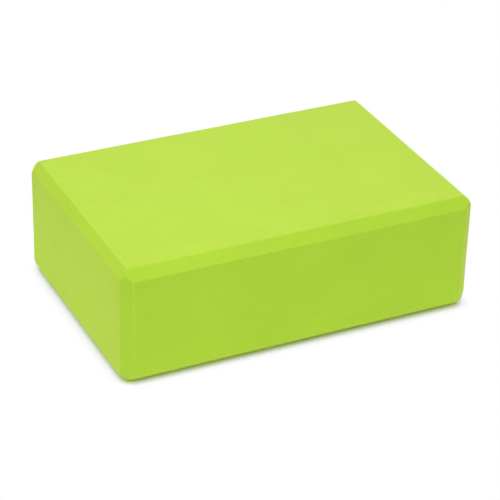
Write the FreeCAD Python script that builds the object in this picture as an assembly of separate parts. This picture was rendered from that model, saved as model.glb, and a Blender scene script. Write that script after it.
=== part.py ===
"""A free-standing foam exercise block: one sawn piece of closed-cell foam with a flat bevel on every edge.

Millimetres. The origin is the centre of the base, +X runs along the length, +Y away from the front long side
and +Z up. The block lies on its broadest face.
"""

import math
import os

import FreeCAD
import Part

# Driving sizes
LENGTH = 228.6
WIDTH = 152.4
HEIGHT = 76.2
# The bevel round each end: how far it reaches over the end, the broad faces and the long sides
END_BEVEL_ON_END = 5.6
END_BEVEL_ON_FLAT = 4.8
END_BEVEL_ON_SIDE = 6.5
# The roll that the cutter leaves where it turns a corner of the end
END_CORNER_ROLL = 5.0
# The bevel along each of the four long edges, which reaches as far over both of its faces
LONG_EDGE_BEVEL = 6.2
# Rounding that the cutter leaves where a bevel meets a face or another bevel
ARRIS_RADIUS = 1.6

X = FreeCAD.Vector(1, 0, 0)
Y = FreeCAD.Vector(0, 1, 0)
Z = FreeCAD.Vector(0, 0, 1)


def bevelled_bar(along, length, across, width, up, height, reach_across, reach_up):
    """A bar on the origin with its four long edges bevelled and its ends left square."""
    far_across = width / 2
    far_up = height / 2
    near_across = far_across - reach_across
    near_up = far_up - reach_up
    outline = [
        (near_across, -far_up),
        (far_across, -near_up),
        (far_across, near_up),
        (near_across, far_up),
        (-near_across, far_up),
        (-far_across, near_up),
        (-far_across, -near_up),
        (-near_across, -far_up),
    ]
    start = along * (-length / 2)
    points = [start + across * a + up * u for a, u in outline]
    section = Part.Face(Part.makePolygon(points + points[:1]))
    return section.extrude(along * length)


def leaves_end_corner(edge):
    """True for an edge that runs back into the block from a corner of an end face."""
    reaches = sorted(abs(vertex.X) for vertex in edge.Vertexes)
    return reaches[0] < LENGTH / 2 - 0.01 < reaches[1]


def is_arris(solid, edge):
    """True where two faces meet at an angle, and not where one runs on smoothly into the other."""
    middle = edge.valueAt((edge.FirstParameter + edge.LastParameter) / 2)
    faces = solid.ancestorsOfType(edge, Part.Face)
    normals = [face.normalAt(*face.Surface.parameter(middle)) for face in faces]
    return math.degrees(normals[0].getAngle(normals[1])) > 15


def block_with_bevelled_ends():
    """The square block with a bevel cut all round each end, rolled where the cutter turns a corner."""
    crosswise = bevelled_bar(Y, WIDTH, Z, HEIGHT, X, LENGTH, END_BEVEL_ON_END, END_BEVEL_ON_FLAT)
    upright = bevelled_bar(Z, HEIGHT, X, LENGTH, Y, WIDTH, END_BEVEL_ON_SIDE, END_BEVEL_ON_END)
    mitred = crosswise.common([upright]).removeSplitter()
    turns = [edge for edge in mitred.Edges if leaves_end_corner(edge)]
    return mitred.makeFillet(END_CORNER_ROLL, turns)


def foam_block():
    """The block: bevelled round both ends, then cut along its long edges, with every arris softened."""
    lengthwise = bevelled_bar(X, LENGTH, Y, WIDTH, Z, HEIGHT, LONG_EDGE_BEVEL, LONG_EDGE_BEVEL)
    bevelled = block_with_bevelled_ends().common([lengthwise]).removeSplitter()
    arrises = [edge for edge in bevelled.Edges if is_arris(bevelled, edge)]
    softened = bevelled.makeFillet(ARRIS_RADIUS, arrises)
    softened.translate(Z * (HEIGHT / 2))
    return softened


os.makedirs("parts", exist_ok=True)
block = foam_block()
block.exportStep("parts/foam_block.step")
print(f"foam_block: {len(block.Solids)} solid, {len(block.Faces)} faces, {block.Volume / 1000:.1f} cm3")
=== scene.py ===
import math

import bpy
from mathutils import Matrix, Vector


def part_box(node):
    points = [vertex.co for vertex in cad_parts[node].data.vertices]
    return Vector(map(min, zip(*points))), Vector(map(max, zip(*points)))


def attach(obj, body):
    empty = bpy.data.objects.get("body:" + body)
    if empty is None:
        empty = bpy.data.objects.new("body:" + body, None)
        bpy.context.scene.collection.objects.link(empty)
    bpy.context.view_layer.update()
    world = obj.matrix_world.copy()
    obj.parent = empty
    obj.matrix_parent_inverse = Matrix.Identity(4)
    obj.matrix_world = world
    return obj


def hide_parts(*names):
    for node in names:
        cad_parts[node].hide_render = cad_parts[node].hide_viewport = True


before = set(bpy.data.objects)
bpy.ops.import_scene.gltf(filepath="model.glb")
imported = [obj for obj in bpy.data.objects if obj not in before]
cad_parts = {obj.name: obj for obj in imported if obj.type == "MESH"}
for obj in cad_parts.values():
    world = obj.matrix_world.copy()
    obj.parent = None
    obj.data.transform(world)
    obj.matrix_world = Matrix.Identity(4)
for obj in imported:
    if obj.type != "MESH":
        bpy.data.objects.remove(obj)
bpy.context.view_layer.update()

# Foam block
# One solid piece of closed-cell EVA foam, pressed as a thick slab, skived flat and sawn to size.
# A cutter takes a flat bevel round each end, rolling where it turns a corner, and then off each long edge.
block_low, block_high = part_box("foam_block")
block_size = block_high - block_low
block_middle = (block_low + block_high) / 2
end_bevel_on_end = 0.0056
end_bevel_on_flat = 0.0048
end_bevel_on_side = 0.0065
end_corner_roll = 0.005
front_top_roll = 0.003
roll_steps = 8
long_edge_bevel = 0.0062
arris_radius = 0.0016
arris_steps = 4
mesh_spacing = 0.004
hollow_depth = 0.0003
hollow_width = 0.045
# How far handling has rubbed down the tips of the corners. The two at the front of the top are still sharp.
left = front = base = -1
right = back = top = 1
tip_wear = {
    (left, front, base): 0.0015,
    (right, front, base): 0.0006,
    (left, back, base): 0.0004,
    (right, back, base): 0.0004,
    (left, back, top): 0.0006,
    (right, back, top): 0.0008,
}

bpy.ops.object.select_all(action="DESELECT")
bpy.ops.mesh.primitive_cube_add(size=1, location=(0, 0, 0))
block = bpy.context.object
block.name = "bevelled_foam_block"
bpy.ops.object.mode_set(mode="EDIT")
bpy.ops.mesh.select_all(action="SELECT")
bpy.ops.transform.resize(value=block_size)
bpy.ops.transform.translate(value=block_middle)


def cut_bevels(across, up, reach_across, reach_up):
    """Four passes of the cutter, with its reach over the two faces that each joins. Gives their normals."""
    normals = []
    for across_side in (-1, 1):
        for up_side in (-1, 1):
            cut_normal = Vector((0, 0, 0))
            cut_normal[across] = across_side / reach_across
            cut_normal[up] = up_side / reach_up
            cut_normal.normalize()
            cut_point = block_middle.copy()
            cut_point[across] += across_side * (block_size[across] / 2 - reach_across)
            cut_point[up] += up_side * block_size[up] / 2
            bpy.ops.mesh.select_all(action="SELECT")
            bpy.ops.mesh.bisect(plane_co=cut_point, plane_no=cut_normal, use_fill=True, clear_outer=True)
            normals.append(cut_normal)
    return normals


# A bevel round each end, then the roll on the edges that leave an end's corners, and then the long edges
end_flat_normals = cut_bevels(0, 2, end_bevel_on_flat, end_bevel_on_end)
end_side_normals = cut_bevels(0, 1, end_bevel_on_side, end_bevel_on_end)
turn_angle = end_flat_normals[0].angle(end_side_normals[0])
hair = 0.0001
bpy.ops.mesh.select_mode(type="EDGE")
for at_front_top, roll in ((False, end_corner_roll), (True, front_top_roll)):
    bpy.ops.mesh.select_all(action="DESELECT")
    bpy.ops.object.mode_set(mode="OBJECT")
    for edge in block.data.edges:
        first, last = (block.data.vertices[k].co - block_middle for k in edge.vertices)
        reaches = sorted((abs(first.x), abs(last.x)))
        leaves_corner = reaches[0] < block_size.x / 2 - hair < reaches[1]
        edge.select = leaves_corner and at_front_top == (first.z > 0 and first.y < 0)
    bpy.ops.object.mode_set(mode="EDIT")
    bpy.ops.mesh.bevel(offset=roll * math.tan(turn_angle / 2), segments=roll_steps, affect="EDGES")
long_normals = cut_bevels(1, 2, long_edge_bevel, long_edge_bevel)
bevel_normals = end_flat_normals + end_side_normals + long_normals

# The cutter leaves each arris a little round. A bevel turns about 45 degrees from the faces beside it.
arris_turn = math.radians(45)
least_arris_turn = math.radians(30)
bpy.ops.mesh.select_mode(type="EDGE")
bpy.ops.mesh.select_all(action="DESELECT")
bpy.ops.mesh.edges_select_sharp(sharpness=least_arris_turn)
bpy.ops.mesh.bevel(offset=arris_radius * math.tan(arris_turn / 2), segments=arris_steps, affect="EDGES")

# Even rows of faces, for the shallow hollows to move
for axis in range(3):
    rows = round(block_size[axis] / mesh_spacing)
    row_normal = Vector((0, 0, 0))
    row_normal[axis] = 1
    for row in range(1, rows):
        row_point = block_low + row_normal * (block_size[axis] * row / rows)
        bpy.ops.mesh.select_all(action="SELECT")
        bpy.ops.mesh.bisect(plane_co=row_point, plane_no=row_normal)
bpy.ops.mesh.select_all(action="SELECT")
bpy.ops.mesh.normals_make_consistent(inside=False)
bpy.ops.object.mode_set(mode="OBJECT")

# Each face is marked with the direction of the blade that cut it, whether it is a bevel, whether it is
# skived, and how much pale burr with a painted highlight it has: most along the foot of a long side, less on
# its upright arrises, where it grows towards their tops, and a little on every other arris.
flat_lean = 0.999
bevel_lean = 0.9995
upright_lean = 0.05
long_side_lean = 0.8
bevel_painted_light_share = 0.5
plain_arris_burr_and_highlight = 0.09
foot_burr_and_highlight = 1
upright_burr_and_highlight_low = 0.14
upright_burr_and_highlight_rise = 0.4
upright_burr_and_highlight_most = 0.45
marks = block.data.attributes
marks.new("blade_path", "FLOAT_VECTOR", "FACE")
for mark in ("bevel_cut", "arris", "skived"):
    marks.new(mark, "FLOAT", "FACE")
for face in block.data.polygons:
    leaning = [round(abs(part), 3) for part in face.normal]
    path = Vector((0, 0, 0))
    path[leaning.index(min(leaning))] = 1
    is_flat = max(leaning) > flat_lean
    is_broad = leaning[2] > flat_lean
    is_bevel = max(face.normal.dot(cut_normal) for cut_normal in bevel_normals) > bevel_lean
    is_arris = not is_flat and not is_bevel
    burr_and_highlight = plain_arris_burr_and_highlight * is_arris
    if is_arris and leaning[1] > long_side_lean and face.normal.z < upright_lean:
        height = (face.center.z - block_low.z) / block_size.z
        upright_burr_and_highlight = min(upright_burr_and_highlight_most, upright_burr_and_highlight_low + upright_burr_and_highlight_rise * height)
        burr_and_highlight = upright_burr_and_highlight if leaning[2] < upright_lean else foot_burr_and_highlight
    marks["blade_path"].data[face.index].vector = path
    marks["bevel_cut"].data[face.index].value = is_bevel
    # The skived mark sets how much of the painted light tint a face takes: full on the broad faces, half on
    # the bevels.
    marks["skived"].data[face.index].value = 1 if is_broad else bevel_painted_light_share * is_bevel
    marks["arris"].data[face.index].value = burr_and_highlight

# The rubbed tips: the nearer a point lies to the tip, the further it goes in, by the whole wear at the tip
for corner, wear in tip_wear.items():
    towards_tip = Vector(corner).normalized()
    tip_reach = max(towards_tip.dot(vertex.co - block_middle) for vertex in block.data.vertices)
    for vertex in block.data.vertices:
        over = max(0, towards_tip.dot(vertex.co - block_middle) - tip_reach + 2 * wear)
        vertex.co -= towards_tip * over**2 / (4 * wear)
block.data.update()

# Skiving leaves shallow hollows, which only go inwards, so the block keeps its outer size
hollows = bpy.data.textures.new("skiving_hollows", "CLOUDS")
hollows.noise_scale = hollow_width
bpy.ops.object.modifier_add(type="DISPLACE")
skiving = block.modifiers[-1]
skiving.texture = hollows
skiving.texture_coords = "LOCAL"
skiving.strength = hollow_depth
skiving.mid_level = 1
bpy.ops.object.modifier_apply(modifier=skiving.name)
bpy.ops.object.shade_smooth()
bpy.ops.object.modifier_add(type="WEIGHTED_NORMAL")
bpy.ops.object.modifier_apply(modifier=block.modifiers[-1].name)


def linear(hex_colour):
    """A six-digit sRGB hex colour as linear RGBA."""
    channels = [int(hex_colour[k : k + 2], 16) / 255 for k in (0, 2, 4)]
    return [c / 12.92 if c <= 0.04045 else ((c + 0.055) / 1.055) ** 2.4 for c in channels] + [1]


def add_node(tree, kind, settings, inputs):
    """A node with its settings, and its inputs set to a value or linked from another node's output."""
    node = tree.nodes.new(kind)
    for name, value in settings.items():
        setattr(node, name, value)
    for name, value in inputs.items():
        if isinstance(value, bpy.types.NodeSocket):
            tree.links.new(value, node.inputs[name])
        else:
            node.inputs[name].default_value = value
    return node


# Closed-cell EVA foam, skived and sawn: matt, one colour right through, paler where it is seen at a slant,
# because the torn cell walls stand up like a short nap. The cutter smears the cells along the bevels.
# The real cells are about 0.3 mm across, too fine to show in the render, so they are drawn at 1.2 mm.
foam_dark = "A6D420"
foam_light = "B2E226"
# The burr colour is partly a real pale burr and partly a painted highlight on the arrises.
burr_and_highlight_colour = "BAE238"
# The skived tint is painted light on the broad faces.
painted_top_light_tint = "FFF9FF"
foam_ior = 1.49
nap_weight = 0.46
nap_roughness = 0.65
nap_tint = "FFFF63"
cell_size = 0.0012
mottle_size = 0.04
pinhole_spacing = 0.009
pinhole_radius = 0.0005
stroke_width = 0.0016
stroke_stretch = 0.97
foam = bpy.data.materials.new("skived_eva_foam")
foam.use_nodes = True
foam_tree = foam.node_tree
foam_tree.nodes.clear()
place = add_node(foam_tree, "ShaderNodeTexCoord", {}, {}).outputs["Object"]
on_bevel = add_node(foam_tree, "ShaderNodeAttribute", {"attribute_name": "bevel_cut"}, {}).outputs["Fac"]
arris_burr_and_highlight = add_node(foam_tree, "ShaderNodeAttribute", {"attribute_name": "arris"}, {}).outputs["Fac"]
painted_top_light_share = add_node(foam_tree, "ShaderNodeAttribute", {"attribute_name": "skived"}, {}).outputs["Fac"]
blade = add_node(foam_tree, "ShaderNodeAttribute", {"attribute_name": "blade_path"}, {}).outputs["Vector"]
cells = add_node(foam_tree, "ShaderNodeTexVoronoi", {}, {"Vector": place, "Scale": 1 / cell_size})
mottle = add_node(
    foam_tree, "ShaderNodeTexNoise", {}, {"Vector": place, "Scale": 1 / mottle_size, "Detail": 3}
)
pores = add_node(foam_tree, "ShaderNodeTexVoronoi", {}, {"Vector": place, "Scale": 1 / pinhole_spacing})
pinholes = add_node(
    foam_tree,
    "ShaderNodeMapRange",
    {"interpolation_type": "SMOOTHSTEP"},
    {
        "Value": pores.outputs["Distance"],
        "From Min": 0.5 * pinhole_radius / pinhole_spacing,
        "From Max": pinhole_radius / pinhole_spacing,
        "To Min": 1,
        "To Max": 0,
    },
)

# The blade's strokes: noise that is drawn out along the cut
along_blade = add_node(foam_tree, "ShaderNodeVectorMath", {"operation": "DOT_PRODUCT"}, {0: place, 1: blade})
drawn_out = add_node(
    foam_tree,
    "ShaderNodeMath",
    {"operation": "MULTIPLY"},
    {0: along_blade.outputs["Value"], 1: stroke_stretch},
)
blade_shift = add_node(
    foam_tree,
    "ShaderNodeVectorMath",
    {"operation": "SCALE"},
    {0: blade, "Scale": drawn_out.outputs["Value"]},
)
stroke_place = add_node(
    foam_tree,
    "ShaderNodeVectorMath",
    {"operation": "SUBTRACT"},
    {0: place, 1: blade_shift.outputs["Vector"]},
)
strokes = add_node(
    foam_tree,
    "ShaderNodeTexNoise",
    {},
    {"Vector": stroke_place.outputs["Vector"], "Scale": 1 / stroke_width, "Detail": 2},
)

# Plain foam lies half-way between the dark and the light tone, and each pattern moves it by its share
plain_tone = 0.5
cells_on_face = 0.3
cells_on_bevel = 0.12
strokes_on_face = 0.15
strokes_on_bevel = 0.5
mottle_share = 0.9
pinhole_painted_shade = -1.5
cell_share = add_node(
    foam_tree,
    "ShaderNodeMapRange",
    {},
    {"Value": on_bevel, "To Min": cells_on_face, "To Max": cells_on_bevel},
)
stroke_share = add_node(
    foam_tree,
    "ShaderNodeMapRange",
    {},
    {"Value": on_bevel, "To Min": strokes_on_face, "To Max": strokes_on_bevel},
)
tone = plain_tone
for pattern, share in (
    (cells.outputs["Color"], cell_share.outputs["Result"]),
    (strokes.outputs["Fac"], stroke_share.outputs["Result"]),
    (mottle.outputs["Fac"], mottle_share),
):
    centred = add_node(foam_tree, "ShaderNodeMath", {"operation": "SUBTRACT"}, {0: pattern, 1: 0.5})
    shared = add_node(
        foam_tree,
        "ShaderNodeMath",
        {"operation": "MULTIPLY_ADD"},
        {0: centred.outputs["Value"], 1: share, 2: tone},
    )
    tone = shared.outputs["Value"]
# The pinholes are darkened: painted shade in the pits.
tone_with_painted_pit_shade = add_node(
    foam_tree,
    "ShaderNodeMath",
    {"operation": "MULTIPLY_ADD"},
    {0: pinholes.outputs["Result"], 1: pinhole_painted_shade, 2: tone},
)
foam_colour = add_node(
    foam_tree,
    "ShaderNodeMix",
    {"data_type": "RGBA", "clamp_factor": False},
    {"Factor": tone_with_painted_pit_shade.outputs["Value"], 6: linear(foam_dark), 7: linear(foam_light)},
)
# Painted highlight: the arrises are mixed towards the pale burr colour.
arris_burr_and_highlight_colour = add_node(
    foam_tree,
    "ShaderNodeMix",
    {"data_type": "RGBA"},
    {"Factor": arris_burr_and_highlight, 6: foam_colour.outputs[2], 7: linear(burr_and_highlight_colour)},
)

# Painted light: the broad faces are painted a shade less green than the sawn sides, for the less green light
# that falls on the top, with the bevels half-way between
face_colour = add_node(
    foam_tree,
    "ShaderNodeMix",
    {"data_type": "RGBA", "blend_type": "MULTIPLY"},
    {"Factor": painted_top_light_share, 6: arris_burr_and_highlight_colour.outputs[2], 7: linear(painted_top_light_tint)},
)

# Height of the surface: domed cells, strokes and pits
relief_strength = 0.25
relief_depth = 0.0004
stroke_height = add_node(
    foam_tree,
    "ShaderNodeMath",
    {"operation": "MULTIPLY"},
    {0: strokes.outputs["Fac"], 1: stroke_share.outputs["Result"]},
)
cell_height = add_node(
    foam_tree,
    "ShaderNodeMath",
    {"operation": "MULTIPLY_ADD"},
    {0: cells.outputs["Distance"], 1: cell_share.outputs["Result"], 2: stroke_height.outputs["Value"]},
)
foam_height = add_node(
    foam_tree,
    "ShaderNodeMath",
    {"operation": "SUBTRACT"},
    {0: cell_height.outputs["Value"], 1: pinholes.outputs["Result"]},
)
foam_bump = add_node(
    foam_tree,
    "ShaderNodeBump",
    {},
    {"Strength": relief_strength, "Distance": relief_depth, "Height": foam_height.outputs["Value"]},
)

# Roughness: least in the middle of a cell, and a little less where the cutter has smeared a bevel
cell_middle_roughness = 0.57
cell_edge_rise = 0.08
smeared_change = -0.05
cell_roughness = add_node(
    foam_tree,
    "ShaderNodeMath",
    {"operation": "MULTIPLY_ADD"},
    {0: cells.outputs["Distance"], 1: cell_edge_rise, 2: cell_middle_roughness},
)
foam_roughness = add_node(
    foam_tree,
    "ShaderNodeMath",
    {"operation": "MULTIPLY_ADD"},
    {0: on_bevel, 1: smeared_change, 2: cell_roughness.outputs["Value"]},
)
foam_shader = add_node(
    foam_tree,
    "ShaderNodeBsdfPrincipled",
    {},
    {
        "Base Color": face_colour.outputs[2],
        "Roughness": foam_roughness.outputs["Value"],
        "IOR": foam_ior,
        "Normal": foam_bump.outputs["Normal"],
        "Sheen Weight": nap_weight,
        "Sheen Roughness": nap_roughness,
        "Sheen Tint": linear(nap_tint),
    },
)
add_node(foam_tree, "ShaderNodeOutputMaterial", {}, {"Surface": foam_shader.outputs["BSDF"]})
block.data.materials.append(foam)
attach(block, "root")
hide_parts("foam_block")

# Floor
# A matt white sheet, brightest round the block, that runs out into the white of the tent with no horizon.
# The exposure washes it out to white, apart from the shadow where the block meets it.
floor_size = 12
sheet_bounce = 0.88
sheet_reach = 0.415
table_bounce = 0.2
sheet_seen = 1.32
sheet_tint = "EEE6FF"
contact_bounce_tint = "E2E3BE"
contact_reach = 0.003
contact_edge = (block_size.x / 2 - end_bevel_on_flat, block_size.y / 2 - long_edge_bevel, 0)
run_out_start = 0.0015
run_out_end = 0.011
bpy.ops.object.select_all(action="DESELECT")
bpy.ops.mesh.primitive_plane_add(size=floor_size, location=(0, 0, 0))
floor = bpy.context.object
floor.name = "white_floor"
sheet = bpy.data.materials.new("matt_white_sheet")
sheet.use_nodes = True
sheet_tree = sheet.node_tree
sheet_tree.nodes.clear()


def seen_ray(tree):
    """1 for a ray that shows the background: from the camera, or by a reflection or through glass."""
    rays = add_node(tree, "ShaderNodeLightPath", {}, {})
    mirrored = add_node(
        tree,
        "ShaderNodeMath",
        {"operation": "MAXIMUM"},
        {0: rays.outputs["Is Glossy Ray"], 1: rays.outputs["Is Transmission Ray"]},
    )
    seen = add_node(
        tree,
        "ShaderNodeMath",
        {"operation": "MAXIMUM"},
        {0: rays.outputs["Is Camera Ray"], 1: mirrored.outputs["Value"]},
    )
    return seen.outputs["Value"]


sheet_place = add_node(sheet_tree, "ShaderNodeTexCoord", {}, {})
sheet_distance = add_node(
    sheet_tree, "ShaderNodeVectorMath", {"operation": "LENGTH"}, {0: sheet_place.outputs["Object"]}
)
sheet_fade = add_node(
    sheet_tree,
    "ShaderNodeMapRange",
    {"interpolation_type": "SMOOTHSTEP"},
    {
        "Value": sheet_distance.outputs["Value"],
        "From Min": 0.5 * sheet_reach,
        "From Max": 1.5 * sheet_reach,
        "To Min": sheet_bounce,
        "To Max": table_bounce,
    },
)

# How far a point of the sheet lies outside the rectangle on which the block stands
folded = add_node(
    sheet_tree, "ShaderNodeVectorMath", {"operation": "ABSOLUTE"}, {0: sheet_place.outputs["Object"]}
)
past_edge = add_node(
    sheet_tree,
    "ShaderNodeVectorMath",
    {"operation": "SUBTRACT"},
    {0: folded.outputs["Vector"], 1: contact_edge},
)
outside = add_node(
    sheet_tree,
    "ShaderNodeVectorMath",
    {"operation": "MAXIMUM"},
    {0: past_edge.outputs["Vector"], 1: (0, 0, 0)},
)
from_block = add_node(
    sheet_tree, "ShaderNodeVectorMath", {"operation": "LENGTH"}, {0: outside.outputs["Vector"]}
)

# Close to the block the seen sheet is painted with some of the foam's green: painted light bounced off the
# block
clear_of_block = add_node(
    sheet_tree,
    "ShaderNodeMapRange",
    {"interpolation_type": "SMOOTHSTEP"},
    {"Value": from_block.outputs["Value"], "From Max": contact_reach},
)
seen_colour = add_node(
    sheet_tree,
    "ShaderNodeMix",
    {"data_type": "RGBA"},
    {
        "Factor": clear_of_block.outputs["Result"],
        6: [part * sheet_seen for part in linear(contact_bounce_tint)],
        7: [part * sheet_seen for part in linear(sheet_tint)],
    },
)
sheet_seen_ray = seen_ray(sheet_tree)
sheet_colour = add_node(
    sheet_tree,
    "ShaderNodeMix",
    {"data_type": "RGBA"},
    {"Factor": sheet_seen_ray, 6: sheet_fade.outputs["Result"], 7: seen_colour.outputs[2]},
)
sheet_shader = add_node(sheet_tree, "ShaderNodeBsdfDiffuse", {}, {"Color": sheet_colour.outputs[2]})

# Further out, where it is seen, the sheet is plain white
run_out = add_node(
    sheet_tree,
    "ShaderNodeMapRange",
    {"interpolation_type": "SMOOTHSTEP"},
    {
        "Value": from_block.outputs["Value"],
        "From Min": run_out_start,
        "From Max": run_out_end,
        "To Max": sheet_seen_ray,
    },
)
plain_white = add_node(sheet_tree, "ShaderNodeEmission", {}, {"Color": (1, 1, 1, 1), "Strength": 1})
sheet_surface = add_node(
    sheet_tree,
    "ShaderNodeMixShader",
    {},
    {"Fac": run_out.outputs["Result"], 1: sheet_shader.outputs["BSDF"], 2: plain_white.outputs["Emission"]},
)
add_node(sheet_tree, "ShaderNodeOutputMaterial", {}, {"Surface": sheet_surface.outputs["Shader"]})
sheet.cycles.emission_sampling = "NONE"
floor.data.materials.append(sheet)

# Light
# A white tent all round, which looks plain white where it is seen.
# A large softbox hangs overhead towards the near left corner, and one stands further off behind the block.
tent_light = 0.6
bpy.context.scene.world = bpy.data.worlds.new("white_tent")
tent = bpy.context.scene.world
tent.use_nodes = True
tent_tree = tent.node_tree
tent_tree.nodes.clear()
tent_strength = add_node(
    tent_tree, "ShaderNodeMapRange", {}, {"Value": seen_ray(tent_tree), "To Min": tent_light, "To Max": 1}
)
tent_shader = add_node(
    tent_tree,
    "ShaderNodeBackground",
    {},
    {"Color": (1, 1, 1, 1), "Strength": tent_strength.outputs["Result"]},
)
add_node(tent_tree, "ShaderNodeOutputWorld", {}, {"Surface": tent_shader.outputs["Background"]})


def add_softbox(name, azimuth, elevation, distance, size, energy):
    """A square softbox that faces the block; the azimuth turns from the front to the left."""
    lamp = bpy.data.lights.new(name, "AREA")
    lamp.size = size
    lamp.energy = energy
    softbox = bpy.data.objects.new(name, lamp)
    bpy.context.scene.collection.objects.link(softbox)
    turn = math.radians(azimuth)
    rise = math.radians(elevation)
    towards = Vector((-math.sin(turn) * math.cos(rise), -math.cos(turn) * math.cos(rise), math.sin(rise)))
    softbox.location = block_middle + towards * distance
    softbox.rotation_euler = (-towards).to_track_quat("-Z", "Y").to_euler()


add_softbox("overhead_softbox", azimuth=37.5, elevation=59.4, distance=0.88, size=0.78, energy=3.8)
add_softbox("back_softbox", azimuth=-159, elevation=29, distance=1.6, size=1.2, energy=4.0)

# Camera
# A long lens from the front left, which looks down on the block from about 30 degrees.
camera_place = (-0.4859, -0.9869, 0.6688)
camera_heading = -26.290
camera_dip = 30.316
camera_roll = 1.630
camera_data = bpy.data.cameras.new("camera")
camera_data.sensor_width = 36
camera_data.lens = 148.7
camera = bpy.data.objects.new("camera", camera_data)
bpy.context.scene.collection.objects.link(camera)
camera.matrix_world = (
    Matrix.Translation(camera_place)
    @ Matrix.Rotation(math.radians(camera_heading), 4, "Z")
    @ Matrix.Rotation(math.radians(90 - camera_dip), 4, "X")
    @ Matrix.Rotation(math.radians(camera_roll), 4, "Z")
)
bpy.context.scene.camera = camera
bpy.context.scene.view_settings.view_transform = "Standard"
